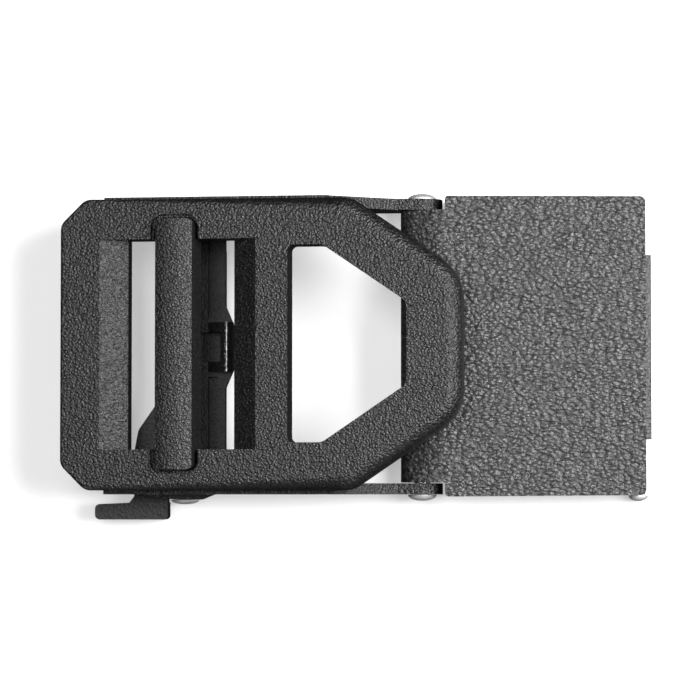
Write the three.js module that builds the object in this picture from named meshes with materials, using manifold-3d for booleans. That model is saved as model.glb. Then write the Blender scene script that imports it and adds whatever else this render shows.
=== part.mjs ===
// Automatic track belt buckle: an open die-cast frame with a sprung pawl and a
// release lever, hinged to a strap clamp with a toothed flap.
// Millimetres. +X runs along the strap from the frame to the clamp, +Y across it,
// +Z out of the face. The origin is the middle of the clamp's back.

import * as THREE from 'three';
import * as BufferGeometryUtils from 'three/addons/utils/BufferGeometryUtils.js';
import Module from 'manifold-3d';

const wasm = await Module();
wasm.setup();

// ---- Driving dimensions -------------------------------------------------------

const strapWidth = 38;
const strapSideGap = 0.2;
const fitGap = 0.05;

// Hinge between the two halves
const hingeHeight = 3.9;
const hingeToOrigin = 17;
const hingePin = { radius: 1.1, headRadius: 2.05, headHeight: 0.85 };
const faceTilt = THREE.MathUtils.degToRad(5);

// Frame, measured from the hinge axis
const frameLeft = -48.95;
const frameRight = 7;
const faceHeight = 14.1;
const faceThickness = 4.4;
const faceHalfWidth = 20.2;
const wallInner = strapWidth / 2 + strapSideGap;
const wallOuter = 20.75;
const leftChamfer = 3.5;
const diagonalStart = -8.4;
const noseHalfWidth = 9.7;
const earRadius = 2.9;
const sideWall = { left: -43.6, toe: -40.8, heel: -9, heelTop: -7, earNeck: -3.3, earRoot: -12 };

// Windows in the frame
const windowHalfWidth = 14.55;
const leftWindow = { left: -43.4, right: -21.45, leftSlope: 3.7, rightSlope: 3.3, depth: 2 };
const dWindow = { left: -17, bend: -12.2, right: -0.5, halfWidth: 13.6, rightHalfWidth: 5.65 };

// Cross bar and the recesses it sits in
const barCentre = -32.75;
const barTopWidth = 5.15;
const barBaseWidth = 5.9;
const barHalfLength = 17.3;
const barRise = 1;
const barCrown = 0.45;
const recess = { width: 6.84, halfLength: 18, stepWidth: 6.2, stepHalfLength: 17.6, depth: 2.6, step: 0.9 };
const barEndRadius = 1.3;
const barTenonGap = 0.25;
const barScrew = { y: 16.35, shankRadius: 0.8, headRadius: 1.6, headDepth: 0.85, reach: 2.2 };

// Pawl, measured from its own pin
const pawlPivot = { x: -33.6, z: 1.74 };
const pawlPin = { radius: 1.1, headRadius: 2, headHeight: 0.6 };
const pinBoss = { left: -6.7, crestLeft: -0.5, crestRight: 2.2, right: 4, top: 4.4, proud: 0.75 };
const pawlHalfWidth = 18.65;
const pawlBarrelRadius = 2.3;
const pawlPlate = { left: -2.2, right: 5.9, top: 2.6, thickness: 1.7 };
const pawlGroove = { left: 3.5, right: 4.75, depth: 0.9 };
const tooth = { halfWidth: 4.2, top: 4.2, proud: 1.15, back: -2.2, blockInset: 0.7 };
const toothPocket = { left: -3.1, right: -0.6, halfWidth: 2.1, floor: 1.5 };
const lever = { left: -7.1, right: -2.3, bottom: -0.6, top: 1.4 };
const leverPad = { left: -12.6, inner: -21.9, outer: -24.3, bottom: -1.8, top: 2 };
const pawlSwing = THREE.MathUtils.degToRad(12);

// Clamp, measured from the hinge axis
const clampHeight = 7.8;
const clampLeft = 3.3;
const clampRight = 31.3;
const clampHalfWidth = 21.05;
const clampEndHalfWidth = 20.85;
const tongueHalfWidth = wallInner - 0.12;
const tongueRadius = 3;
const topPlateThickness = 1.4;
const socketLeft = 5.2;
const flapPin = { x: 30.4, z: 1.65 - hingeHeight, radius: 0.95, headRadius: 1.4, headHeight: 0.8 };

// Toothed flap, measured from its pin
const flap = { left: -24, halfWidth: 18.6, thickness: 1.2, barrelRadius: 1.5, barrelHalfWidth: 13 };
const flapLip = 1.85;
const gripToothCount = 11;
const nailNotch = { depth: 2.4, halfWidth: 4.5, radius: 1.2 };
const setScrew = { x: -14, y: 14, radius: 1.45, length: 2, hexRadius: 0.85, hexDepth: 1.1 };

const roundSegments = 32;
const curveSegments = 6;

// ---- Materials ----------------------------------------------------------------

const finish = (color, roughness, metalness) => new THREE.MeshStandardMaterial({ color, roughness, metalness });
const powderCoat = () => finish(0x2b2b2c, 0.72, 0.2);
const wrinkleCoat = () => finish(0x3a3a3b, 0.66, 0.2);
const polishedSteel = () => finish(0xb9babc, 0.24, 1);
const blackSteel = () => finish(0x1d1d1f, 0.45, 0.8);

// ---- Solids -------------------------------------------------------------------

function solid(geometry) {
  const bare = geometry.clone();
  bare.deleteAttribute('normal');
  bare.deleteAttribute('uv');
  const merged = BufferGeometryUtils.mergeVertices(bare, 1e-5);
  return new wasm.Manifold(new wasm.Mesh({
    numProp: 3,
    vertProperties: new Float32Array(merged.attributes.position.array),
    triVerts: new Uint32Array(merged.index.array),
  }));
}

function named(name, body, material) {
  const result = body.getMesh();
  const geometry = new THREE.BufferGeometry();
  geometry.setAttribute('position', new THREE.BufferAttribute(result.vertProperties, 3));
  geometry.setIndex(new THREE.BufferAttribute(result.triVerts, 1));
  geometry.computeVertexNormals();
  const mesh = new THREE.Mesh(geometry, material);
  mesh.name = name;
  return mesh;
}

// A closed outline whose corners are [x, y, radius], with a true arc at each radius.
function outline(corners) {
  const shape = new THREE.Shape();
  corners.forEach(([x, y, radius = 0], index) => {
    const before = corners.at(index - 1);
    const after = corners[(index + 1) % corners.length];
    const corner = new THREE.Vector2(x, y);
    const toBefore = new THREE.Vector2(before[0] - x, before[1] - y).normalize();
    const toAfter = new THREE.Vector2(after[0] - x, after[1] - y).normalize();
    const halfAngle = toBefore.angleTo(toAfter) / 2;
    const start = corner.clone().addScaledVector(toBefore, radius / Math.tan(halfAngle));
    if (index === 0) shape.moveTo(start.x, start.y);
    else shape.lineTo(start.x, start.y);
    if (radius === 0) return;
    const end = corner.clone().addScaledVector(toAfter, radius / Math.tan(halfAngle));
    const inward = toBefore.clone().add(toAfter).normalize();
    const centre = corner.clone().addScaledVector(inward, radius / Math.sin(halfAngle));
    const startAngle = Math.atan2(start.y - centre.y, start.x - centre.x);
    const endAngle = Math.atan2(end.y - centre.y, end.x - centre.x);
    const clockwise = toBefore.cross(toAfter) > 0;
    shape.absarc(centre.x, centre.y, radius, startAngle, endAngle, clockwise);
  });
  return shape;
}

// The same outline with its mirror image across the X axis, for corners from left to right.
function mirroredOutline(upperCorners) {
  const lowerCorners = upperCorners.map(([x, y, radius]) => [x, -y, radius]);
  return outline([...lowerCorners, ...upperCorners.toReversed()]);
}

// A plan outline with thickness from zLow to zHigh.
function plate(shape, zLow, zHigh) {
  const depth = zHigh - zLow;
  const geometry = new THREE.ExtrudeGeometry(shape, { depth, bevelEnabled: false, curveSegments });
  return solid(geometry.translate(0, 0, zLow));
}

// A side outline, drawn in X and Z, that runs across from yLow to yHigh.
function acrossY(shape, yLow, yHigh) {
  const depth = yHigh - yLow;
  const geometry = new THREE.ExtrudeGeometry(shape, { depth, bevelEnabled: false, curveSegments });
  return solid(geometry.rotateX(Math.PI / 2).translate(0, yHigh, 0));
}

function block(xLow, xHigh, yLow, yHigh, zLow, zHigh) {
  const geometry = new THREE.BoxGeometry(xHigh - xLow, yHigh - yLow, zHigh - zLow);
  return solid(geometry.translate((xLow + xHigh) / 2, (yLow + yHigh) / 2, (zLow + zHigh) / 2));
}

// A block on the +Y or the -Y side, from yInner to yOuter out from the middle.
function acrossBlock(sign, xLow, xHigh, yInner, yOuter, zLow, zHigh) {
  const [yLow, yHigh] = [sign * yInner, sign * yOuter].sort((a, b) => a - b);
  return block(xLow, xHigh, yLow, yHigh, zLow, zHigh);
}

function rodAcross(radius, x, z, yLow, yHigh) {
  const geometry = new THREE.CylinderGeometry(radius, radius, yHigh - yLow, roundSegments);
  return solid(geometry.translate(x, (yLow + yHigh) / 2, z));
}

function rodUp(radius, x, y, zLow, zHigh, sides = roundSegments) {
  const geometry = new THREE.CylinderGeometry(radius, radius, zHigh - zLow, sides);
  return solid(geometry.rotateX(Math.PI / 2).translate(x, y, (zLow + zHigh) / 2));
}

const joined = (first, ...rest) => rest.reduce((sum, piece) => sum.add(piece), first);
const cut = (body, ...cutters) => cutters.reduce((left, piece) => left.subtract(piece), body);

// A riveted pin along Y: a shank with a low dome at each end that asks for one.
function rivet({ radius, headRadius, headHeight }, yLow, yHigh, domeLow, domeHigh) {
  const domeSteps = 6;
  const dome = (y, direction) => Array.from({ length: domeSteps + 1 }, (_, step) => {
    const angle = (step / domeSteps) * Math.PI / 2;
    return new THREE.Vector2(headRadius * Math.cos(angle), y + direction * headHeight * Math.sin(angle));
  });
  const lowEnd = domeLow ? dome(yLow, -1).reverse() : [new THREE.Vector2(0, yLow)];
  const highEnd = domeHigh ? dome(yHigh, 1) : [new THREE.Vector2(0, yHigh)];
  const shank = [new THREE.Vector2(radius, yLow), new THREE.Vector2(radius, yHigh)];
  const profile = [...lowEnd, ...shank, ...highEnd];
  profile[0].x = 0;
  profile.at(-1).x = 0;
  return solid(new THREE.LatheGeometry(profile, roundSegments));
}

// ---- Frame --------------------------------------------------------------------

const plateBottom = faceHeight - faceThickness;

// The height of the surface that the buckle lies on, seen from the tilted frame.
const restingLine = (x) => -(hingeHeight + x * Math.sin(faceTilt)) / Math.cos(faceTilt);

function facePlate() {
  const face = mirroredOutline([
    [frameLeft, faceHalfWidth - leftChamfer, 2],
    [frameLeft + leftChamfer, faceHalfWidth, 2],
    [diagonalStart, faceHalfWidth, 4],
    [frameRight, noseHalfWidth, 7],
  ]);
  const d = dWindow;
  const nose = mirroredOutline([
    [d.left, d.halfWidth, 0.8],
    [d.bend, d.halfWidth, 2],
    [d.right, d.rightHalfWidth, 1.5],
  ]);
  const w = leftWindow;
  const above = faceHeight + 1;
  const slopeFoot = faceHeight - w.depth;
  const funnel = outline([
    [w.left, above],
    [w.left, faceHeight],
    [w.left + w.leftSlope, slopeFoot],
    [w.left + w.leftSlope, plateBottom - 1],
    [w.right - w.rightSlope, plateBottom - 1],
    [w.right - w.rightSlope, slopeFoot],
    [w.right, faceHeight],
    [w.right, above],
  ]);
  return cut(
    plate(face, plateBottom, faceHeight),
    plate(nose, plateBottom - 1, above),
    acrossY(funnel, -windowHalfWidth, windowHalfWidth),
  );
}

function sideWalls() {
  const w = sideWall;
  const intoPlate = plateBottom + 0.5;
  const side = outline([
    [w.left, intoPlate],
    [w.left, plateBottom - 1, 1],
    [w.toe, restingLine(w.toe), 1.5],
    [w.heel, restingLine(w.heel), 1],
    [w.heelTop, -earRadius, 1],
    [earRadius, -earRadius, earRadius],
    [earRadius, earRadius, earRadius],
    [w.earNeck, earRadius, 1],
    [w.earRoot, plateBottom, 1],
    [w.earRoot, intoPlate],
  ]);
  return joined(acrossY(side, wallInner, wallOuter), acrossY(side, -wallOuter, -wallInner));
}

// A swelling around the pawl pin on the lever side.
function makePinBoss() {
  const intoWall = -wallOuter + 0.4;
  const crest = -wallOuter - pinBoss.proud;
  const left = pawlPivot.x + pinBoss.left;
  const right = pawlPivot.x + pinBoss.right;
  const swell = outline([
    [left, intoWall],
    [left, -wallOuter],
    [pawlPivot.x + pinBoss.crestLeft, crest, 2],
    [pawlPivot.x + pinBoss.crestRight, crest, 1.2],
    [right, -wallOuter],
    [right, intoWall],
  ]);
  return plate(swell, restingLine(left) + 0.1, pawlPivot.z + pinBoss.top);
}

// The slot that the lever's stem moves in, from its stop to the full release.
function leverSlot() {
  const clearance = 0.45;
  const left = lever.left - clearance;
  const right = lever.right + clearance;
  const top = lever.top - lever.left * Math.sin(pawlSwing) + clearance;
  const stop = lever.bottom - fitGap;
  const opening = outline([[left, stop], [right, stop], [right, top, 0.6], [left, top, 0.6]]);
  const slot = acrossY(opening, -wallOuter - 2, -wallInner + 1);
  const tiltDegrees = THREE.MathUtils.radToDeg(faceTilt);
  return slot.rotate([0, tiltDegrees, 0]).translate([pawlPivot.x, 0, pawlPivot.z]);
}

function recessCutter(sign) {
  const roundedEnd = (width, halfLength, radius) => outline([
    [barCentre - width / 2, 0],
    [barCentre + width / 2, 0],
    [barCentre + width / 2, halfLength, radius],
    [barCentre - width / 2, halfLength, radius],
  ]);
  const upper = plate(
    roundedEnd(recess.width, recess.halfLength, 1.9), faceHeight - recess.step, faceHeight + 1);
  const lower = plate(
    roundedEnd(recess.stepWidth, recess.stepHalfLength, 1.6), faceHeight - recess.depth, faceHeight);
  const both = joined(upper, lower);
  return sign > 0 ? both : both.mirror([0, 1, 0]);
}

function makeFrame() {
  const reach = wallOuter + 2;
  const holes = [
    rodAcross(pawlPin.radius + fitGap, pawlPivot.x, pawlPivot.z, -reach, reach),
    rodAcross(hingePin.radius + fitGap, 0, 0, -reach, reach),
    ...[-1, 1].map((sign) => screwHole(sign * barScrew.y)),
    springAnchorHole(),
  ];
  const body = joined(facePlate(), sideWalls(), makePinBoss());
  return cut(body, leverSlot(), recessCutter(1), recessCutter(-1), ...holes);
}

// ---- Cross bar and its screws ---------------------------------------------------

const barBottom = plateBottom + 0.35;
const recessFloor = faceHeight - recess.depth;

function makeCrossBar() {
  const top = faceHeight + barRise;
  const halfTop = barTopWidth / 2;
  const halfBase = barBaseWidth / 2;
  const crownRadius = (halfTop ** 2 + barCrown ** 2) / (2 * barCrown);
  const crownSpan = Math.asin(halfTop / crownRadius);
  const section = new THREE.Shape();
  section.moveTo(-halfBase, barBottom);
  section.lineTo(halfBase, barBottom);
  section.lineTo(halfTop, top);
  section.absarc(
    0, top + barCrown - crownRadius, crownRadius, Math.PI / 2 - crownSpan, Math.PI / 2 + crownSpan, false);
  section.closePath();
  const bar = acrossY(section, -barHalfLength, barHalfLength).translate([barCentre, 0, 0]);
  const plan = outline([
    [barCentre - halfBase, -barHalfLength, barEndRadius],
    [barCentre + halfBase, -barHalfLength, barEndRadius],
    [barCentre + halfBase, barHalfLength, barEndRadius],
    [barCentre - halfBase, barHalfLength, barEndRadius],
  ]);
  const shaped = bar.intersect(plate(plan, barBottom - 1, top + 1));
  const heels = [-1, 1].map((sign) => acrossBlock(
    sign, barCentre - barBaseWidth, barCentre + barBaseWidth,
    windowHalfWidth - barTenonGap, barHalfLength + 1, barBottom - 1, recessFloor + fitGap));
  const threadRadius = barScrew.shankRadius + fitGap;
  const threadTop = recessFloor + barScrew.reach + 0.2;
  const threads = [-1, 1].map((sign) => rodUp(
    threadRadius, barCentre, sign * barScrew.y, recessFloor - 1, threadTop));
  return cut(shaped, ...heels, ...threads);
}

// The screw's own profile, or its hole's: wider by the gap and open below the plate.
function screwProfile(grow) {
  const bottom = plateBottom + (grow ? -1 : 0.1);
  const seat = plateBottom + barScrew.headDepth + grow;
  const headRadius = barScrew.headRadius + grow;
  const shankRadius = barScrew.shankRadius + grow;
  const tip = recessFloor + barScrew.reach;
  return [
    new THREE.Vector2(0, bottom),
    new THREE.Vector2(headRadius, bottom),
    new THREE.Vector2(headRadius, plateBottom + 0.1 + fitGap),
    new THREE.Vector2(shankRadius, seat),
    new THREE.Vector2(shankRadius, tip),
    new THREE.Vector2(0, tip),
  ];
}

function screwShape(grow, y) {
  const geometry = new THREE.LatheGeometry(screwProfile(grow), 20);
  return solid(geometry.rotateX(Math.PI / 2)).translate([barCentre, y, 0]);
}

const screwHole = (y) => screwShape(fitGap, y);

function makeBarScrew(y) {
  const slotHalfWidth = 0.22;
  const slotTop = plateBottom + 0.45;
  const reach = barScrew.headRadius + 1;
  const slot = block(
    barCentre - reach, barCentre + reach, y - slotHalfWidth, y + slotHalfWidth, plateBottom - 1, slotTop);
  return cut(screwShape(0, y), slot);
}

// ---- Pawl with its lever, and the torsion spring on the same pin -----------------

const springBay = { from: 13.6, coilFrom: 14.6, coilTo: 18.2 };
const wireRadius = 0.3;
const coilRadius = pawlPin.radius + 0.15 + wireRadius;

function makePawl() {
  const p = pawlPlate;
  const plan = outline([
    [p.left, pawlHalfWidth],
    [p.left, -6, 1],
    [-3.9, -8.1, 3],
    [-6.4, -11.7, 2],
    [lever.left, -15.5, 3],
    [lever.left, -pawlHalfWidth],
    [p.right, -pawlHalfWidth],
    [p.right, -tooth.halfWidth - 1.6, 0.8],
    [p.right + tooth.proud, -tooth.halfWidth + 1.1, 1],
    [p.right + tooth.proud, tooth.halfWidth - 1.1, 1],
    [p.right, tooth.halfWidth + 1.6, 0.8],
    [p.right, pawlHalfWidth],
  ]);
  const sheet = plate(plan, p.top - p.thickness, p.top);
  const barrel = rodAcross(pawlBarrelRadius, 0, 0, -pawlHalfWidth, springBay.from);
  const neck = block(-1.6, 1.6, -pawlHalfWidth, springBay.from, 0, p.top - 0.4);
  const armDrop = block(lever.left, lever.right, -pawlHalfWidth, -15.5, lever.bottom, p.top - 0.3);
  const intoPlate = p.top - 0.5;
  const toothSide = outline([
    [p.right - 3, intoPlate],
    [p.right + tooth.proud, intoPlate],
    [p.right + tooth.proud, tooth.top - 1],
    [p.right + 0.35, tooth.top, 0.15],
    [p.right + tooth.back, p.top + 0.2],
  ]);
  const blockHalfWidth = tooth.halfWidth - tooth.blockInset;
  const toothBlock = acrossY(toothSide, -blockHalfWidth, blockHalfWidth);
  const hollow = toothPocket;
  const pocket = block(
    p.right + hollow.left, p.right + hollow.right,
    -hollow.halfWidth, hollow.halfWidth, hollow.floor, tooth.top + 1);
  const grooves = [-1, 1].map((sign) => acrossBlock(
    sign, pawlGroove.left, pawlGroove.right,
    tooth.halfWidth, pawlHalfWidth + 1, p.top - pawlGroove.depth, p.top + 1));
  const hole = rodAcross(pawlPin.radius + fitGap, 0, 0, -pawlHalfWidth - 1, pawlHalfWidth + 1);
  const ribBottom = p.top - p.thickness - 0.5;
  const rib = block(p.right - 1, p.right, -pawlHalfWidth, springBay.from, ribBottom, p.top - 0.2);
  const springRoom = rodAcross(coilRadius + wireRadius + 0.2, 0, 0, springBay.from, pawlHalfWidth + 1);
  const body = joined(sheet, barrel, neck, armDrop, toothBlock, leverArm(), rib);
  return cut(body, pocket, ...grooves, hole, springRoom);
}

function leverArm() {
  const stem = block(
    lever.left, lever.right, leverPad.inner - 0.5, -pawlHalfWidth + 0.5, lever.bottom, lever.top);
  const pad = plate(
    outline([
      [leverPad.left, leverPad.outer, 0.7],
      [lever.right, leverPad.outer, 0.6],
      [lever.right, leverPad.inner],
      [lever.left, leverPad.inner, 0],
      [leverPad.left, leverPad.inner - 0.25, 0.7],
    ]),
    leverPad.bottom, leverPad.top);
  const web = outline([
    [lever.left - 0.9, leverPad.inner - 0.3],
    [lever.left, leverPad.inner - 0.3],
    [lever.left, leverPad.inner + 0.9],
  ]);
  return joined(stem, pad, plate(web, lever.bottom, lever.top));
}

const springTurns = 5;
const springAnchor = new THREE.Vector2(-5.2, 3.2);
const springTip = new THREE.Vector2(
  pawlPlate.right - 1.2, pawlPlate.top - pawlPlate.thickness - wireRadius - 0.1);

// The wire runs from its hook in the wall, round the coil, to the leg under the pawl plate.
class SpringPath extends THREE.Curve {
  getPoint(t, target = new THREE.Vector3()) {
    const leadIn = 0.08;
    const leadOut = 0.93;
    const along = THREE.MathUtils.clamp((t - leadIn) / (leadOut - leadIn), 0, 1);
    const startAngle = springAnchor.angle() + Math.acos(coilRadius / springAnchor.length());
    const endAngle = springTip.angle() - Math.acos(coilRadius / springTip.length()) + 2 * Math.PI * springTurns;
    const angle = THREE.MathUtils.lerp(startAngle, endAngle, along);
    const point = new THREE.Vector2(coilRadius * Math.cos(angle), coilRadius * Math.sin(angle));
    if (t < leadIn) point.lerpVectors(springAnchor, point, t / leadIn);
    if (t > leadOut) point.lerp(springTip, (t - leadOut) / (1 - leadOut));
    const y = THREE.MathUtils.lerp(springBay.coilTo, springBay.coilFrom, along);
    return target.set(point.x, y, point.y);
  }
}

function wire(path, steps) {
  const section = new THREE.Shape();
  section.absarc(0, 0, wireRadius, 0, 2 * Math.PI, false);
  return solid(new THREE.ExtrudeGeometry(section, { steps, extrudePath: path, curveSegments: 8 }));
}

function makeSpring() {
  const hook = rodAcross(wireRadius, springAnchor.x, springAnchor.y, springBay.coilTo, wallOuter - 0.6);
  return joined(wire(new SpringPath(), 110), hook);
}

function springAnchorHole() {
  const hole = rodAcross(wireRadius + 0.1, springAnchor.x, springAnchor.y, springBay.coilTo, wallOuter - 0.4);
  const tiltDegrees = THREE.MathUtils.radToDeg(faceTilt);
  return hole.rotate([0, tiltDegrees, 0]).translate([pawlPivot.x, 0, pawlPivot.z]);
}

// ---- Clamp ----------------------------------------------------------------------

const clampTop = clampHeight - hingeHeight;
const clampBottom = -hingeHeight;

function makeClamp() {
  const plan = mirroredOutline([[clampLeft, clampHalfWidth, 0.5], [clampRight, clampEndHalfWidth, 0.8]]);
  const box = plate(plan, clampBottom, clampTop);
  const knuckle = new THREE.Shape();
  knuckle.moveTo(clampLeft + 1, clampTop);
  knuckle.lineTo(1.2, clampTop);
  knuckle.absarc(0, 0, tongueRadius, Math.PI * 0.6, Math.PI * 1.5, false);
  knuckle.lineTo(clampLeft + 1, -tongueRadius);
  knuckle.closePath();
  const tongue = acrossY(knuckle, -tongueHalfWidth, tongueHalfWidth);
  const socketTop = clampTop - topPlateThickness;
  const socket = block(socketLeft, clampRight + 1, -wallInner, wallInner, clampBottom - 1, socketTop);
  const mouthFlare = outline([
    [clampRight - 0.5, socketTop - 0.1],
    [clampRight + 1, socketTop - 0.1],
    [clampRight + 1, socketTop + 0.6],
    [clampRight - 0.5, socketTop],
  ]);
  const wallToe = outline([
    [clampRight - 0.55, clampBottom - 1],
    [clampRight + 1, clampBottom - 1],
    [clampRight + 1, clampBottom + 1.2],
  ]);
  const reach = clampHalfWidth + 1;
  return cut(
    joined(box, tongue),
    socket,
    acrossY(mouthFlare, -wallInner, wallInner),
    acrossY(wallToe, -reach, reach),
    rodAcross(hingePin.radius + fitGap, 0, 0, -reach, reach),
    rodAcross(flapPin.radius + fitGap, flapPin.x, flapPin.z, -reach, reach),
  );
}

// ---- Toothed flap and its set screws ---------------------------------------------

function makeFlap() {
  const bottom = clampBottom - flapPin.z;
  const top = bottom + flap.thickness;
  const shoulder = -2.2;
  const notchEnd = flap.left + nailNotch.depth;
  const notchInner = nailNotch.halfWidth - nailNotch.radius;
  const plan = outline([
    [flap.left, -flap.halfWidth, 1],
    [shoulder, -flap.halfWidth, 0.6],
    [shoulder, -flap.barrelHalfWidth],
    [0, -flap.barrelHalfWidth],
    [0, flap.barrelHalfWidth],
    [shoulder, flap.barrelHalfWidth],
    [shoulder, flap.halfWidth, 0.6],
    [flap.left, flap.halfWidth, 1],
    [flap.left, nailNotch.halfWidth, 0.5],
    [notchEnd, notchInner, nailNotch.radius],
    [notchEnd, -notchInner, nailNotch.radius],
    [flap.left, -nailNotch.halfWidth, 0.5],
  ]);
  const barrel = rodAcross(flap.barrelRadius, 0, 0, -flap.barrelHalfWidth, flap.barrelHalfWidth);
  const ridge = new THREE.Vector2(-0.9, 1.75);
  const gripRail = outline([
    [shoulder - 1.2, top - 0.3],
    [flapLip, top - 0.3],
    [flapLip, 0.9, 0.2],
    [0.9, 1.2],
    [ridge.x, ridge.y],
    [shoulder, 1.2],
  ]);
  const rail = acrossY(gripRail, -flap.barrelHalfWidth, flap.barrelHalfWidth);
  const pitch = 2 * flap.barrelHalfWidth / gripToothCount;
  const teeth = Array.from({ length: gripToothCount }, (_, index) => {
    const y = -flap.barrelHalfWidth + (index + 0.5) * pitch;
    const fang = new THREE.ConeGeometry(0.42 * pitch, 1.2, 4);
    return solid(fang.rotateX(Math.PI / 2).translate(ridge.x, y, ridge.y + 0.25));
  });
  const holes = [-1, 1].map((sign) => rodUp(
    setScrew.radius + fitGap, setScrew.x, sign * setScrew.y, bottom - 1, top + 1, 24));
  const pinHole = rodAcross(flapPin.radius + fitGap, 0, 0, -flap.barrelHalfWidth - 1, flap.barrelHalfWidth + 1);
  return cut(joined(plate(plan, bottom, top), barrel, rail, ...teeth), pinHole, ...holes);
}

function makeSetScrew(sign) {
  const bottom = clampBottom - flapPin.z + 0.15;
  const y = sign * setScrew.y;
  const body = rodUp(setScrew.radius, setScrew.x, y, bottom, bottom + setScrew.length, 24);
  return cut(body, rodUp(setScrew.hexRadius, setScrew.x, y, bottom - 1, bottom + setScrew.hexDepth, 6));
}

// ---- Pins -----------------------------------------------------------------------

function makePawlPin() {
  const bossFace = -wallOuter - pinBoss.proud;
  const pin = rivet(pawlPin, bossFace - fitGap, wallOuter, true, false);
  return pin.translate([pawlPivot.x, 0, pawlPivot.z]);
}

function makeHingePin() {
  return rivet(hingePin, -wallOuter - fitGap, wallOuter + fitGap, true, true);
}

function makeFlapPin() {
  const halfWidth = THREE.MathUtils.mapLinear(
    flapPin.x, clampLeft, clampRight, clampHalfWidth, clampEndHalfWidth);
  const pin = rivet(flapPin, -halfWidth - fitGap, halfWidth, true, false);
  return pin.translate([flapPin.x, 0, flapPin.z]);
}

// ---- Assembly -------------------------------------------------------------------

const upperHalf = new THREE.Group();
upperHalf.position.set(-hingeToOrigin, 0, hingeHeight);
upperHalf.rotation.y = -faceTilt;
upperHalf.add(
  named('buckle_frame', makeFrame(), powderCoat()),
  named('cross_bar', makeCrossBar(), powderCoat()),
  named('cross_bar_screw_lower', makeBarScrew(-barScrew.y), blackSteel()),
  named('cross_bar_screw_upper', makeBarScrew(barScrew.y), blackSteel()),
  named('pawl_pin', makePawlPin(), polishedSteel()),
  named('hinge_pin', makeHingePin(), polishedSteel()),
);

// The pawl lies level when the tilted frame rests on its walls.
const pawlSeat = new THREE.Group();
pawlSeat.position.set(pawlPivot.x, 0, pawlPivot.z);
pawlSeat.rotation.y = faceTilt;
pawlSeat.add(
  named('pawl_lever', makePawl(), powderCoat()),
  named('pawl_spring', makeSpring(), polishedSteel()),
);
upperHalf.add(pawlSeat);

const lowerHalf = new THREE.Group();
lowerHalf.position.set(-hingeToOrigin, 0, hingeHeight);
lowerHalf.add(
  named('clamp_body', makeClamp(), wrinkleCoat()),
  named('flap_pin', makeFlapPin(), polishedSteel()),
);

const flapSeat = new THREE.Group();
flapSeat.position.set(flapPin.x, 0, flapPin.z);
flapSeat.add(
  named('clamp_flap', makeFlap(), powderCoat()),
  named('set_screw_lower', makeSetScrew(-1), blackSteel()),
  named('set_screw_upper', makeSetScrew(1), blackSteel()),
);
lowerHalf.add(flapSeat);

const group = new THREE.Group();
group.add(upperHalf, lowerHalf);
export default group;
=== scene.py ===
import math

import bmesh
import bpy
from mathutils import Matrix, Vector


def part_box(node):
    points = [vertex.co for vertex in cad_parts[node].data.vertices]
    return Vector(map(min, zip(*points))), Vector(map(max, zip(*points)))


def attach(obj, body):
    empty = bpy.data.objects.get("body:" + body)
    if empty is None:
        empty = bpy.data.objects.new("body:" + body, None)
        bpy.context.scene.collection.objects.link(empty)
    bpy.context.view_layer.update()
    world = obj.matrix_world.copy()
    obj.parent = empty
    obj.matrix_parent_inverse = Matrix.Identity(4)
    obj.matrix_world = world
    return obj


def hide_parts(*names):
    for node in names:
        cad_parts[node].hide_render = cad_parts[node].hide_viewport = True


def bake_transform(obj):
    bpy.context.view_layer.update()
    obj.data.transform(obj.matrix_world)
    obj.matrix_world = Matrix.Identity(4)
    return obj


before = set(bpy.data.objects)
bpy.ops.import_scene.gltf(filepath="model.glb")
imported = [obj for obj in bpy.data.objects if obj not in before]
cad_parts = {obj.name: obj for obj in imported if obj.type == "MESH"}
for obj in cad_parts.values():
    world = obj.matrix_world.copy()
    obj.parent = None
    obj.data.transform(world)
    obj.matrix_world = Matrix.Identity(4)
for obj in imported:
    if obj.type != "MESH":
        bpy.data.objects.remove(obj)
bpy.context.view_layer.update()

# ---- Sizes, in metres ----------------------------------------------------------

MM = 0.001
FACE_TILT = math.radians(5)
HINGE = Vector((-17 * MM, 0, 3.9 * MM))
FACE_HEIGHT = 14.1 * MM
FRAME_LEFT = -48.95 * MM
DIAGONAL_START = -8.4 * MM
LEFT_CHAMFER = 3.5 * MM
BAR_CENTRE = -32.75 * MM
RECESS_REACH = 3.7 * MM
WINDOW_HALF = 14.55 * MM
WALL_OUTER = 20.75 * MM
BOSS_PROUD = 0.75 * MM
NOSE_WINDOW_RIGHT = -0.5 * MM
LEFT_WINDOW_RIGHT = -21.45 * MM

# What lies beyond these is the outside of the face plate, and so is what faces away from the centre.
RAIL_OUTSIDE = 18.6 * MM
LEFT_END_OUTSIDE = -47 * MM
NOSE_CENTRE = -21 * MM

# The face's outer corner
RIM_ROUND = 2.1 * MM
RIM_TOP_RAIL = 1.3 * MM
RIM_CRISP = 0.35 * MM
RIM_RUN_OUT = 4 * MM
RIM_STEPS = 7

# The other edges
NOSE_WINDOW_ROUND = 0.9 * MM
MIDDLE_BAR_ROUND = 0.5 * MM
EDGE_ROUND = 0.3 * MM
SMALL_ROUND = 0.15 * MM
DETAIL_ROUND = 0.12 * MM
SCREW_ROUND = 0.06 * MM
ROUND_SEGMENTS = 3

# Pins
PIN_GAP = 0.05 * MM
PAWL_PIN = {"shank": 1.1 * MM, "head": 1.98 * MM, "height": 0.6 * MM}
HINGE_PIN = {"shank": 1.1 * MM, "head": 2.03 * MM, "height": 0.85 * MM}
FLAP_PIN = {"shank": 0.95 * MM, "head": 1.38 * MM, "height": 0.8 * MM}
PIN_CHAMFER = 0.15 * MM
PIN_CHAMFER_LENGTH = 0.12 * MM
DOME_TIP = 0.02 * MM
DOME_STEPS = 9
PIN_SIDES = 40

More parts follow.
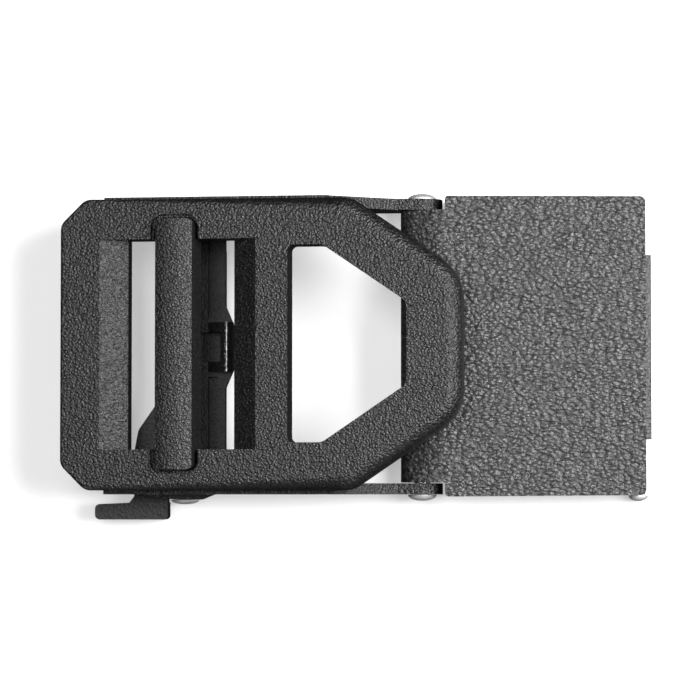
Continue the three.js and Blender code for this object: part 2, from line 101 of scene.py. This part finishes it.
# Torsion spring, measured from the pawl pin
WIRE_RADIUS = 0.3 * MM
WIRE_SIDES = 12
COIL_RADIUS = 1.55 * MM
COIL_TURNS = 5
COIL_STEPS = 26
COIL_FROM = 14.6 * MM
COIL_TO = 18.2 * MM
HOOK_END = 20.15 * MM
SPRING_HOOK = (-5.2 * MM, 3.2 * MM)
SPRING_TIP = (4.7 * MM, 0.5 * MM)

# Clean meshes
PLACE_SLACK = 0.02 * MM
# Material slot that marks the rounded edges, which the coat paints brighter: partly wear, partly a painted
# highlight.
WEAR_AND_HIGHLIGHT_SLOT = 1
MERGE_DISTANCE = 2e-6
CUT_DISTANCE = 1e-7
UPRIGHT = 0.1
CORNER_LIMIT = 0.6
FLAT_ANGLE = math.radians(0.8)
EDGE_ANGLE = math.radians(28)
CREASE_ANGLE = math.radians(35)
TURNED_CREASE_ANGLE = math.radians(40)

# Finishes, lights and view
WRINKLE_TURN = math.radians(18)
FLOOR_HALF = 1.2
FLOOR_GLOW = 0.42
ROOM_GLOW = 0.03
LIGHT_AIM = (-0.02, 0, 0.01)
VIEW_CENTRE = Vector((-27.4 * MM, -0.22 * MM, 0))
CAMERA_PLACE = Vector((-3.4 * MM, -20.2 * MM, 450 * MM))
VIEW_WIDTH = 99.7 * MM


def box_centre(node):
    low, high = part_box(node)
    return (low + high) / 2


# ---- Node helpers --------------------------------------------------------------


class Tree:
    """A node tree with short calls to add a node and to join two sockets."""

    def __init__(self, tree):
        self.tree = tree

    def add(self, kind, inputs=None, **settings):
        node = self.tree.nodes.new(kind)
        for key, value in settings.items():
            setattr(node, key, value)
        for key, value in (inputs or {}).items():
            if isinstance(value, bpy.types.NodeSocket):
                self.tree.links.new(value, node.inputs[key])
            else:
                node.inputs[key].default_value = value
        return node

    def math(self, operation, first, second=0.0):
        return self.add("ShaderNodeMath", {0: first, 1: second}, operation=operation).outputs[0]


def material_tree(name):
    """A new material with an empty node tree."""
    material = bpy.data.materials.new(name)
    material.use_nodes = True
    material.node_tree.nodes.clear()
    return material, Tree(material.node_tree)


def grey(value):
    """A grey that is very slightly cool, as black coats are."""
    return (value, value, value * 1.01, 1)


def ramp(tree, factor, stops):
    """A grey ramp through stops of (position, value)."""
    node = tree.add("ShaderNodeValToRGB", {"Fac": factor})
    elements = node.color_ramp.elements
    while len(elements) < len(stops):
        elements.new(0.5)
    for element, (position, value) in zip(elements, stops):
        element.position = position
        element.color = grey(value)
    return node.outputs["Color"]


def finish_material(tree, colour, roughness, bump, metallic=0.0, specular=0.5):
    """Ends a tree with its shader. colour, roughness and bump are sockets."""
    shader = tree.add("ShaderNodeBsdfPrincipled", {"Base Color": colour, "Roughness": roughness})
    shader.inputs["Metallic"].default_value = metallic
    shader.inputs["Specular IOR Level"].default_value = specular
    tree.tree.links.new(bump, shader.inputs["Normal"])
    tree.add("ShaderNodeOutputMaterial", {"Surface": shader.outputs[0]})


# ---- Finishes ------------------------------------------------------------------


def grain_height(tree, place, cell, sand, swirl):
    """The height of a sprayed coat: small swollen cells with creases between them, and a fine sand on top."""
    warp = tree.add("ShaderNodeTexNoise", {"Vector": place, "Scale": cell * 0.4, "Detail": 2.0})
    centred = tree.add(
        "ShaderNodeVectorMath", {0: warp.outputs["Color"], 1: (0.5, 0.5, 0.5)}, operation="SUBTRACT")
    bent = tree.add("ShaderNodeVectorMath", {0: centred.outputs[0], "Scale": swirl}, operation="SCALE")
    moved = tree.add("ShaderNodeVectorMath", {0: place, 1: bent.outputs[0]}, operation="ADD").outputs[0]
    cells = tree.add("ShaderNodeTexVoronoi", {"Vector": moved, "Scale": cell}, feature="SMOOTH_F1")
    cells.inputs["Smoothness"].default_value = 0.25
    lumps = tree.add(
        "ShaderNodeTexNoise", {"Vector": moved, "Scale": cell * 0.9, "Detail": 2.0, "Roughness": 0.6})
    grit = tree.add("ShaderNodeTexNoise", {"Vector": place, "Scale": sand, "Detail": 1.0, "Roughness": 0.6})
    swollen = tree.math("SUBTRACT", 0.7, cells.outputs["Distance"])
    lumpy = tree.math("MULTIPLY", lumps.outputs["Fac"], 0.8)
    gritty = tree.math("MULTIPLY", grit.outputs["Fac"], 0.4)
    return tree.math("ADD", tree.math("ADD", swollen, lumpy), gritty)


def coat(name, shade, cell, sand, swirl, depth, roughness, specular, stretch=(1, 1, 1)):
    """A black sprayed coat.

    shade is its middle colour, and cell and sand are the numbers of its two grains in a metre. swirl and depth
    are in metres.
    """
    material, tree = material_tree(name)
    own_place = tree.add("ShaderNodeTexCoord").outputs["Object"]
    place = tree.add("ShaderNodeMapping", {
        "Vector": own_place, "Rotation": (0, 0, WRINKLE_TURN), "Scale": stretch}).outputs[0]
    height = grain_height(tree, place, cell, sand, swirl)
    spread = tree.add("ShaderNodeMapRange", {"Value": height, "From Min": 0.7, "From Max": 1.35}).outputs[0]
    edge = tree.add("ShaderNodeAttribute", attribute_name="edge_wear_and_highlight").outputs["Fac"]
    patches = tree.add("ShaderNodeTexNoise", {"Vector": place, "Scale": 420.0, "Detail": 3.0})
    # Rounded edges are painted brighter in patches: partly rubbed wear, partly a painted highlight along the
    # edges.
    rubbed_and_highlight = tree.math("MULTIPLY", edge, patches.outputs["Fac"])
    tone = tree.math("ADD", spread, tree.math("MULTIPLY", rubbed_and_highlight, 0.7))
    cloudy = tree.math("ADD", tone, tree.math("MULTIPLY", patches.outputs["Fac"], 0.15))
    colour = ramp(tree, cloudy, [(0.1, shade * 0.3), (0.5, shade), (1.0, shade * 2.5)])
    sheen = tree.add("ShaderNodeMapRange", {
        "Value": tone, "From Max": 1.4, "To Min": roughness + 0.1, "To Max": roughness - 0.1})
    bump = tree.add("ShaderNodeBump", {"Height": height, "Strength": 1.0, "Distance": depth})
    finish_material(tree, colour, sheen.outputs[0], bump.outputs[0], specular=specular)
    return material


def steel(name, shade, roughness, scratch):
    """Bright or dark steel with fine rolling marks and small stains."""
    material, tree = material_tree(name)
    place = tree.add("ShaderNodeTexCoord").outputs["Object"]
    stretched = tree.add("ShaderNodeMapping", {"Vector": place, "Scale": (1.0, 0.12, 1.0)})
    marks = tree.add(
        "ShaderNodeTexNoise", {"Vector": stretched.outputs[0], "Scale": 9000.0, "Detail": 2.0})
    stains = tree.add("ShaderNodeTexNoise", {"Vector": place, "Scale": 900.0, "Detail": 3.0})
    colour = ramp(tree, stains.outputs["Fac"], [(0.3, shade * 0.8), (0.7, shade)])
    rough = tree.add("ShaderNodeMapRange", {
        "Value": marks.outputs["Fac"], "To Min": roughness * 0.6, "To Max": roughness * 1.5})
    bump = tree.add(
        "ShaderNodeBump", {"Height": marks.outputs["Fac"], "Strength": scratch, "Distance": 0.00002})
    finish_material(tree, colour, rough.outputs[0], bump.outputs[0], metallic=1.0)
    return material


def pawl_coat(name, tooth_tip):
    """The frame's coat, worn through to bright metal along the tip of the tooth."""
    material, tree = material_tree(name)
    place = tree.add("ShaderNodeTexCoord").outputs["Object"]
    height = grain_height(tree, place, 2700.0, 7000.0, 0.0003)
    spread = tree.add("ShaderNodeMapRange", {"Value": height, "From Min": 0.55, "From Max": 1.25})
    parts = tree.add("ShaderNodeSeparateXYZ", {"Vector": place})
    wear_noise = tree.math("MULTIPLY", height, 0.0002)
    ragged = tree.math("ADD", parts.outputs["Z"], wear_noise)
    worn = tree.add("ShaderNodeMapRange", {
        "Value": ragged, "From Min": tooth_tip + 0.04 * MM, "From Max": tooth_tip + 0.14 * MM})
    paint = ramp(tree, spread.outputs[0], [(0.0, 0.003), (0.5, 0.006), (1.0, 0.014)])
    colour = tree.add("ShaderNodeMix", {"Factor": worn.outputs[0]}, data_type="RGBA")
    tree.tree.links.new(paint, colour.inputs["A"])
    colour.inputs["B"].default_value = grey(0.4)
    rough = tree.add("ShaderNodeMapRange", {"Value": worn.outputs[0], "To Min": 0.5, "To Max": 0.4})
    bump = tree.add("ShaderNodeBump", {"Height": height, "Strength": 1.0, "Distance": 0.00006})
    shader = tree.add("ShaderNodeBsdfPrincipled", {
        "Base Color": colour.outputs["Result"], "Roughness": rough.outputs[0],
        "Metallic": worn.outputs[0], "Normal": bump.outputs[0], "Specular IOR Level": 0.25})
    tree.add("ShaderNodeOutputMaterial", {"Surface": shader.outputs[0]})
    return material


FINISHES = {
    "frame": coat(
        "fine_powder_coat", shade=0.007, cell=3000.0, sand=7000.0, swirl=0.3 * MM, depth=0.13 * MM,
        roughness=0.34, specular=0.38),
    "bar": coat(
        "bar_powder_coat", shade=0.007, cell=3100.0, sand=7000.0, swirl=0.3 * MM, depth=0.12 * MM,
        roughness=0.34, specular=0.36),
    "clamp": coat(
        "wrinkle_coat", shade=0.02, cell=2200.0, sand=6000.0, swirl=0.4 * MM, depth=0.23 * MM,
        roughness=0.36, specular=0.52, stretch=(0.65, 1, 1)),
    "flap": coat(
        "flap_powder_coat", shade=0.01, cell=2700.0, sand=7000.0, swirl=0.3 * MM, depth=0.08 * MM,
        roughness=0.4, specular=0.4),
    "pin": steel("polished_rivet", shade=0.85, roughness=0.6, scratch=0.3),
    "spring": steel("spring_wire", shade=0.5, roughness=0.35, scratch=0.3),
    "screw": steel("blackened_steel", shade=0.06, roughness=0.4, scratch=0.3),
}


# ---- Castings: the fixed frame's own shapes, with their edges rounded as cast -----


def clean_copy(node):
    """A merged copy of a node's mesh whose flat faces are whole again."""
    bm = bmesh.new()
    bm.from_mesh(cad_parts[node].data)
    bmesh.ops.remove_doubles(bm, verts=bm.verts, dist=MERGE_DISTANCE)
    bmesh.ops.dissolve_limit(bm, angle_limit=FLAT_ANGLE, verts=bm.verts, edges=bm.edges)
    return bm


def is_corner(edge):
    """Whether the two faces at an edge meet at a clear angle."""
    return len(edge.link_faces) == 2 and edge.calc_face_angle(0) > EDGE_ANGLE


def round_group(bm, width_of, width):
    """Rounds by one width the sharp edges for which width_of gives that width."""
    edges = [edge for edge in bm.edges if is_corner(edge) and width_of(edge) == width]
    bmesh.ops.bevel(
        bm, geom=edges, offset=width, offset_type="OFFSET", segments=ROUND_SEGMENTS, profile=0.5,
        affect="EDGES", clamp_overlap=True, material=WEAR_AND_HIGHLIGHT_SLOT)


def rounded(bm, name, widths, width_of, material):
    """Rounds the sharp edges of bm, one width after the other, and returns the finished piece."""
    for width in widths:
        round_group(bm, width_of, width)
    mesh = bpy.data.meshes.new(name)
    bm.to_mesh(mesh)
    bm.free()
    return baked(mesh, name, material)


def mark_wear_and_highlight_edges(mesh):
    """Writes on each point how much of what surrounds it is a rounded edge, where the coat is painted
    brighter: partly rubbed wear, partly a painted highlight.
    """
    total = [0] * len(mesh.vertices)
    worn = [0] * len(mesh.vertices)
    for face in mesh.polygons:
        for corner in face.vertices:
            total[corner] += 1
            worn[corner] += face.material_index == WEAR_AND_HIGHLIGHT_SLOT
    attribute = mesh.attributes.new("edge_wear_and_highlight", "FLOAT", "POINT")
    attribute.data.foreach_set("value", [part / max(whole, 1) for part, whole in zip(worn, total)])


def baked(mesh, name, material):
    """A smooth shaded piece from a mesh, crisp where its faces still meet at an angle."""
    smooth = bmesh.new()
    smooth.from_mesh(mesh)
    bmesh.ops.remove_doubles(smooth, verts=smooth.verts, dist=MERGE_DISTANCE)
    bmesh.ops.triangulate(smooth, faces=[face for face in smooth.faces if len(face.verts) > 4])
    for face in smooth.faces:
        face.smooth = True
    for edge in smooth.edges:
        edge.smooth = not (len(edge.link_faces) == 2 and edge.calc_face_angle(0) > CREASE_ANGLE)
    smooth.to_mesh(mesh)
    smooth.free()
    mark_wear_and_highlight_edges(mesh)
    mesh.materials.clear()
    mesh.materials.append(material)
    mesh.polygons.foreach_set("material_index", [0] * len(mesh.polygons))
    result = bpy.data.objects.new(name, mesh)
    bpy.context.scene.collection.objects.link(result)
    weighted = result.modifiers.new("even_normals", "WEIGHTED_NORMAL")
    weighted.keep_sharp = True
    weighted.weight = 60
    return result


def in_frame(point):
    """A point as the tilted frame has it: along, across and out of its face, from the hinge."""
    return Matrix.Rotation(FACE_TILT, 3, "Y") @ (point - HINGE)


def is_outer_rim(middle, normal):
    """Whether a wall of the face plate, with its middle and normal in the frame's own axes, is outside."""
    if middle.x > DIAGONAL_START:
        return normal.x * (middle.x - NOSE_CENTRE) + normal.y * middle.y > 0
    return abs(middle.y) > RAIL_OUTSIDE or middle.x < LEFT_END_OUTSIDE


def rim_radius(place):
    """The rim is full along the nose and the lower rail, less on the upper rail and crisp at the left end."""
    if place.x < FRAME_LEFT + LEFT_CHAMFER:
        return RIM_CRISP
    from_left = min(1.0, (place.x - FRAME_LEFT - LEFT_CHAMFER) / RIM_RUN_OUT)
    to_nose = min(1.0, max(0.0, (place.x - DIAGONAL_START + RIM_RUN_OUT) / RIM_RUN_OUT))
    rail = RIM_TOP_RAIL + (RIM_ROUND - RIM_TOP_RAIL) * to_nose if place.y > 0 else RIM_ROUND
    return RIM_CRISP + (rail - RIM_CRISP) * from_left


def slice_rim(bm, back):
    """Cuts the frame along the face at the levels that the rim's arc steps through."""
    out_of_face = back @ Vector((0, 0, 1))
    for step in range(1, RIM_STEPS + 1):
        depth = RIM_ROUND * (1 - math.cos(step / RIM_STEPS * math.pi / 2))
        level = HINGE + back @ Vector((0, 0, FACE_HEIGHT - depth))
        everything = bm.verts[:] + bm.edges[:] + bm.faces[:]
        bmesh.ops.bisect_plane(bm, geom=everything, plane_co=level, plane_no=out_of_face, dist=CUT_DISTANCE)


def outer_wall_normals(vert, tilt):
    """The normals, in the frame's own axes, of the outer walls of the face plate that meet at a point."""
    normals = []
    for face in vert.link_faces:
        normal = tilt @ face.normal
        middle = in_frame(face.calc_center_median())
        if abs(normal.z) < UPRIGHT and is_outer_rim(middle, normal):
            normals.append(Vector((normal.x, normal.y, 0)).normalized())
    return normals


def rim_move(vert, tilt):
    """How far in a point of the rim goes to lie on its arc, in the frame's own axes, or None off the rim."""
    place = in_frame(vert.co)
    depth = FACE_HEIGHT - place.z
    radius = rim_radius(place)
    normals = outer_wall_normals(vert, tilt) if depth < radius else []
    if not normals:
        return None
    mean = sum(normals, Vector()).normalized()
    reach = 1 / max(CORNER_LIMIT, min(mean.dot(normal) for normal in normals))
    inset = radius - math.sqrt(radius ** 2 - (radius - max(depth, 0)) ** 2)
    return mean * -inset * reach


def round_rim(bm):
    """Turns the face plate's outer corner into a true radius that varies along it."""
    tilt = Matrix.Rotation(FACE_TILT, 3, "Y")
    back = tilt.transposed()
    slice_rim(bm, back)
    moves = {vert: rim_move(vert, tilt) for vert in bm.verts}
    for vert, move in moves.items():
        if move is not None:
            vert.co += back @ move
    bm.normal_update()


def frame_width(edge):
    """The rounding of each of the frame's other edges: more on the windows, less where the bar is let in."""
    ends = [in_frame(vert.co) for vert in edge.verts]
    middle = (ends[0] + ends[1]) / 2
    on_face = all(end.z > FACE_HEIGHT - PLACE_SLACK for end in ends)
    by_bar = abs(middle.x - BAR_CENTRE) < RECESS_REACH and abs(middle.y) > WINDOW_HALF - 1 * MM
    if on_face and abs(middle.x - NOSE_WINDOW_RIGHT) < PLACE_SLACK:
        return NOSE_WINDOW_ROUND
    if on_face and abs(middle.x - LEFT_WINDOW_RIGHT) < PLACE_SLACK:
        return MIDDLE_BAR_ROUND
    return EDGE_ROUND if on_face and not by_bar else DETAIL_ROUND


def one_width(node, name, width, material):
    """A node's casting with all its edges rounded alike."""
    return rounded(clean_copy(node), name, (width,), lambda edge: width, material)


def make_frame():
    """The frame's casting: the rim first, then its edges from the widest rounding to the finest."""
    bm = clean_copy("buckle_frame")
    round_rim(bm)
    widths = (NOSE_WINDOW_ROUND, MIDDLE_BAR_ROUND, EDGE_ROUND, DETAIL_ROUND)
    return rounded(bm, "frame_casting", widths, frame_width, FINISHES["frame"])


def make_castings():
    frame_piece = make_frame()
    tooth_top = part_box("pawl_lever")[1].z
    pawl_finish = pawl_coat("pawl_powder_coat", tooth_top)
    bar = one_width("cross_bar", "cross_bar_casting", EDGE_ROUND, FINISHES["bar"])
    pawl = one_width("pawl_lever", "pawl_casting", SMALL_ROUND, pawl_finish)
    clamp = one_width("clamp_body", "clamp_casting", EDGE_ROUND, FINISHES["clamp"])
    flap = one_width("clamp_flap", "flap_casting", SMALL_ROUND, FINISHES["flap"])
    for piece, node, body, slot in (
        (frame_piece, "buckle_frame", "frame", "powder_coat"),
        (bar, "cross_bar", "frame", "powder_coat"),
        (pawl, "pawl_lever", "pawl", "powder_coat"),
        (clamp, "clamp_body", "clamp", "wrinkle_coat"),
        (flap, "clamp_flap", "flap", "powder_coat"),
    ):
        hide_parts(node)
        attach(piece, body)


# ---- Rivets and the spring, made by geometry nodes ---------------------------------


def geometry_tree(name, sizes):
    """An empty geometry tree with one named float input for each size."""
    group = bpy.data.node_groups.new(name, "GeometryNodeTree")
    group.interface.new_socket("Geometry", in_out="INPUT", socket_type="NodeSocketGeometry")
    for size in sizes:
        group.interface.new_socket(size, in_out="INPUT", socket_type="NodeSocketFloat")
    group.interface.new_socket("Finish", in_out="INPUT", socket_type="NodeSocketMaterial")
    group.interface.new_socket("Geometry", in_out="OUTPUT", socket_type="NodeSocketGeometry")
    tree = Tree(group)
    entry = tree.add("NodeGroupInput")
    return group, tree, entry.outputs


def close_tree(tree, geometry, finish):
    """Ends a geometry tree: real geometry with its finish on."""
    realized = tree.add("GeometryNodeRealizeInstances", {"Geometry": geometry})
    painted = tree.add("GeometryNodeSetMaterial", {"Geometry": realized.outputs[0], "Material": finish})
    tree.add("NodeGroupOutput", {"Geometry": painted.outputs[0]})


def grown(group, name, mesh, sizes, finish):
    """Runs a geometry tree on a mesh with the given sizes and returns the plain result."""
    carrier = bpy.data.objects.new(name + "_carrier", mesh)
    bpy.context.scene.collection.objects.link(carrier)
    modifier = carrier.modifiers.new("grow", "NODES")
    modifier.node_group = group
    for item in group.interface.items_tree:
        if item.in_out == "INPUT" and item.name in sizes:
            modifier[item.identifier] = float(sizes[item.name])
        if item.in_out == "INPUT" and item.name == "Finish":
            modifier[item.identifier] = finish
    graph = bpy.context.evaluated_depsgraph_get()
    result = bpy.data.meshes.new_from_object(carrier.evaluated_get(graph))
    bpy.data.objects.remove(carrier)
    bm = bmesh.new()
    bm.from_mesh(result)
    bmesh.ops.remove_doubles(bm, verts=bm.verts, dist=MERGE_DISTANCE)
    bmesh.ops.recalc_face_normals(bm, faces=bm.faces)
    for face in bm.faces:
        face.smooth = True
    for edge in bm.edges:
        edge.smooth = not (len(edge.link_faces) == 2 and edge.calc_face_angle(0) > TURNED_CREASE_ANGLE)
    bm.to_mesh(result)
    bm.free()
    piece = bpy.data.objects.new(name, result)
    bpy.context.scene.collection.objects.link(piece)
    return piece


def lathe_tree():
    """Turns a profile whose points hold a radius into a rivet: a curve with a round section."""
    group, tree, entry = geometry_tree("turned_rivet", ["Sides"])
    radius = tree.add("GeometryNodeInputNamedAttribute", {"Name": "turn_radius"}, data_type="FLOAT")
    curve = tree.add("GeometryNodeMeshToCurve", {"Mesh": entry["Geometry"]})
    sized = tree.add(
        "GeometryNodeSetCurveRadius", {"Curve": curve.outputs[0], "Radius": radius.outputs["Attribute"]})
    section = tree.add("GeometryNodeCurvePrimitiveCircle", {"Radius": 1.0})
    tree.tree.links.new(entry["Sides"], section.inputs["Resolution"])
    tube = tree.add("GeometryNodeCurveToMesh", {
        "Curve": sized.outputs[0], "Profile Curve": section.outputs[0], "Fill Caps": True})
    scale = tree.add("GeometryNodeInputRadius")
    tree.tree.links.new(scale.outputs[0], tube.inputs["Scale"])
    close_tree(tree, tube.outputs[0], entry["Finish"])
    return group


def profile_mesh(name, points, radii):
    """A line of points, each with the radius that it is turned at."""
    mesh = bpy.data.meshes.new(name)
    mesh.from_pydata(points, [(i, i + 1) for i in range(len(points) - 1)], [])
    attribute = mesh.attributes.new("turn_radius", "FLOAT", "POINT")
    attribute.data.foreach_set("value", radii)
    return mesh


def dome(y, direction, pin):
    """From a head's rim to its crown: (distance along the pin, radius)."""
    steps = []
    for step in range(DOME_STEPS + 1):
        angle = step / DOME_STEPS * math.pi / 2
        radius = max(pin["head"] * math.cos(angle), DOME_TIP)
        steps.append((y + direction * pin["height"] * math.sin(angle), radius))
    return steps


def pin_end(y, direction, pin, has_head):
    """One end of a pin, from the shank out to the tip: a dome, or a flush end with a small chamfer."""
    if has_head:
        return [(y - direction * DOME_TIP, pin["shank"])] + dome(y, direction, pin)
    return [
        (y - direction * PIN_CHAMFER_LENGTH, pin["shank"]),
        (y, pin["shank"] - PIN_CHAMFER)]


def rivet(tree, name, node, body, pin, low, high, high_head):
    """A pin with a dome at its low end, and one at its high end if it is asked for."""
    line = pin_end(low, -1, pin, True)[::-1] + pin_end(high, 1, pin, high_head)
    axis = box_centre(node)
    points = [(axis.x, y, axis.z) for y, _ in line]
    profile = profile_mesh(name, points, [radius for _, radius in line])
    piece = grown(tree, name, profile, {"Sides": PIN_SIDES}, FINISHES["pin"])
    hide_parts(node)
    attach(piece, body)


def make_rivets():
    tree = lathe_tree()
    boss_face = -(WALL_OUTER + BOSS_PROUD)
    rivet(tree, "pawl_rivet", "pawl_pin", "frame", PAWL_PIN, boss_face - PIN_GAP, WALL_OUTER, False)
    ear_face = WALL_OUTER + PIN_GAP
    rivet(tree, "hinge_rivet", "hinge_pin", "frame", HINGE_PIN, -ear_face, ear_face, True)
    low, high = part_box("flap_pin")
    rivet(tree, "flap_rivet", "flap_pin", "clamp", FLAP_PIN, low.y + FLAP_PIN["height"], high.y, False)


def spring_points(pivot):
    """The wire's middle line: the hook in the wall, the lead in, the coil and the leg under the pawl."""
    hook_reach = math.hypot(*SPRING_HOOK)
    tip_reach = math.hypot(*SPRING_TIP)
    start = math.atan2(SPRING_HOOK[1], SPRING_HOOK[0]) + math.acos(COIL_RADIUS / hook_reach)
    end = math.atan2(SPRING_TIP[1], SPRING_TIP[0]) - math.acos(COIL_RADIUS / tip_reach)
    end += 2 * math.pi * COIL_TURNS
    steps = COIL_STEPS * COIL_TURNS
    hook_x, hook_z = SPRING_HOOK
    points = [
        (hook_x, HOOK_END, hook_z),
        (hook_x, COIL_TO + 0.3 * MM, hook_z),
        (hook_x + 0.1 * MM, COIL_TO + 0.08 * MM, hook_z - 0.1 * MM),
        (hook_x + 0.35 * MM, COIL_TO, hook_z - 0.36 * MM)]
    for step in range(steps + 1):
        share = step / steps
        angle = start + (end - start) * share
        y = COIL_TO + (COIL_FROM - COIL_TO) * share
        points.append((COIL_RADIUS * math.cos(angle), y, COIL_RADIUS * math.sin(angle)))
    points.append((SPRING_TIP[0], COIL_FROM, SPRING_TIP[1]))
    return [(pivot.x + x, y, pivot.z + z) for x, y, z in points]


def wire_tree():
    """Turns a line into a round wire with closed ends."""
    group, tree, entry = geometry_tree("drawn_wire", ["Wire Radius"])
    curve = tree.add("GeometryNodeMeshToCurve", {"Mesh": entry["Geometry"]})
    section = tree.add("GeometryNodeCurvePrimitiveCircle", {"Resolution": WIRE_SIDES})
    tree.tree.links.new(entry["Wire Radius"], section.inputs["Radius"])
    tube = tree.add("GeometryNodeCurveToMesh", {
        "Curve": curve.outputs[0], "Profile Curve": section.outputs[0], "Fill Caps": True})
    close_tree(tree, tube.outputs[0], entry["Finish"])
    return group


def make_spring():
    """The torsion spring: a coil round the pawl pin, with a hook in the wall and a leg under the pawl, as one
    fixed piece.
    """
    pivot = box_centre("pawl_pin")
    points = spring_points(pivot)
    mesh = bpy.data.meshes.new("spring_line")
    mesh.from_pydata(points, [(i, i + 1) for i in range(len(points) - 1)], [])
    piece = grown(
        wire_tree(), "torsion_spring", mesh, {"Wire Radius": WIRE_RADIUS}, FINISHES["spring"])
    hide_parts("pawl_spring")
    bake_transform(piece)


def make_screws():
    for node, body in (
        ("cross_bar_screw_lower", "frame"), ("cross_bar_screw_upper", "frame"),
        ("set_screw_lower", "flap"), ("set_screw_upper", "flap"),
    ):
        piece = one_width(node, node.replace("screw", "bolt"), SCREW_ROUND, FINISHES["screw"])
        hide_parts(node)
        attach(piece, body)


# ---- Floor, light and camera -------------------------------------------------------


def make_floor():
    half = FLOOR_HALF
    corners = [(-half, -half, 0), (half, -half, 0), (half, half, 0), (-half, half, 0)]
    mesh = bpy.data.meshes.new("floor")
    mesh.from_pydata(corners, [], [(0, 1, 2, 3)])
    floor = bpy.data.objects.new("floor", mesh)
    bpy.context.scene.collection.objects.link(floor)
    material, tree = material_tree("pale_paper")
    place = tree.add("ShaderNodeTexCoord").outputs["Object"]
    tooth = tree.add("ShaderNodeTexNoise", {"Vector": place, "Scale": 60.0, "Detail": 2.0})
    colour = ramp(tree, tooth.outputs["Fac"], [(0.3, 0.5), (0.7, 0.51)])
    shader = tree.add("ShaderNodeBsdfPrincipled", {"Base Color": colour, "Roughness": 0.9})
    shader.inputs["Emission Color"].default_value = (1, 1, 1, 1)
    shader.inputs["Emission Strength"].default_value = FLOOR_GLOW
    tree.add("ShaderNodeOutputMaterial", {"Surface": shader.outputs[0]})
    mesh.materials.append(material)
    floor.visible_glossy = False


def soft_light(name, place, width, height, power):
    """A rectangular light at place that faces the buckle's middle."""
    data = bpy.data.lights.new(name, "AREA")
    data.shape = "RECTANGLE"
    data.size = width
    data.size_y = height
    data.energy = power
    light = bpy.data.objects.new(name, data)
    bpy.context.scene.collection.objects.link(light)
    light.location = place
    light.rotation_euler = (Vector(LIGHT_AIM) - Vector(place)).to_track_quat("-Z", "Y").to_euler()


def make_lights():
    soft_light("side_softbox", (0.2, 0.05, 0.285), width=0.19, height=0.22, power=3.7)
    soft_light("top_softbox", (-0.11, 0.065, 0.5), width=0.25, height=0.25, power=1.96)
    soft_light("low_strip", (-0.02, -0.36, 0.05), width=0.4, height=0.05, power=0.2)
    world = bpy.data.worlds.new("room")
    world.use_nodes = True
    world.node_tree.nodes["Background"].inputs["Color"].default_value = (1, 1, 1, 1)
    world.node_tree.nodes["Background"].inputs["Strength"].default_value = ROOM_GLOW
    bpy.context.scene.world = world


def make_camera():
    data = bpy.data.cameras.new("camera")
    distance = (CAMERA_PLACE - VIEW_CENTRE).length
    data.sensor_width = 36
    data.lens = data.sensor_width * distance / VIEW_WIDTH
    data.clip_start = 0.01
    camera = bpy.data.objects.new("camera", data)
    bpy.context.scene.collection.objects.link(camera)
    ahead = (VIEW_CENTRE - CAMERA_PLACE).normalized()
    right = ahead.cross(Vector((0, 1, 0))).normalized()
    up = right.cross(ahead)
    turn = Matrix((right, up, -ahead)).transposed()
    camera.matrix_world = Matrix.Translation(CAMERA_PLACE) @ turn.to_4x4()
    bpy.context.scene.camera = camera
    bpy.context.scene.view_settings.view_transform = "Standard"


make_camera()
make_castings()
make_rivets()
make_spring()
make_screws()
make_floor()
make_lights()
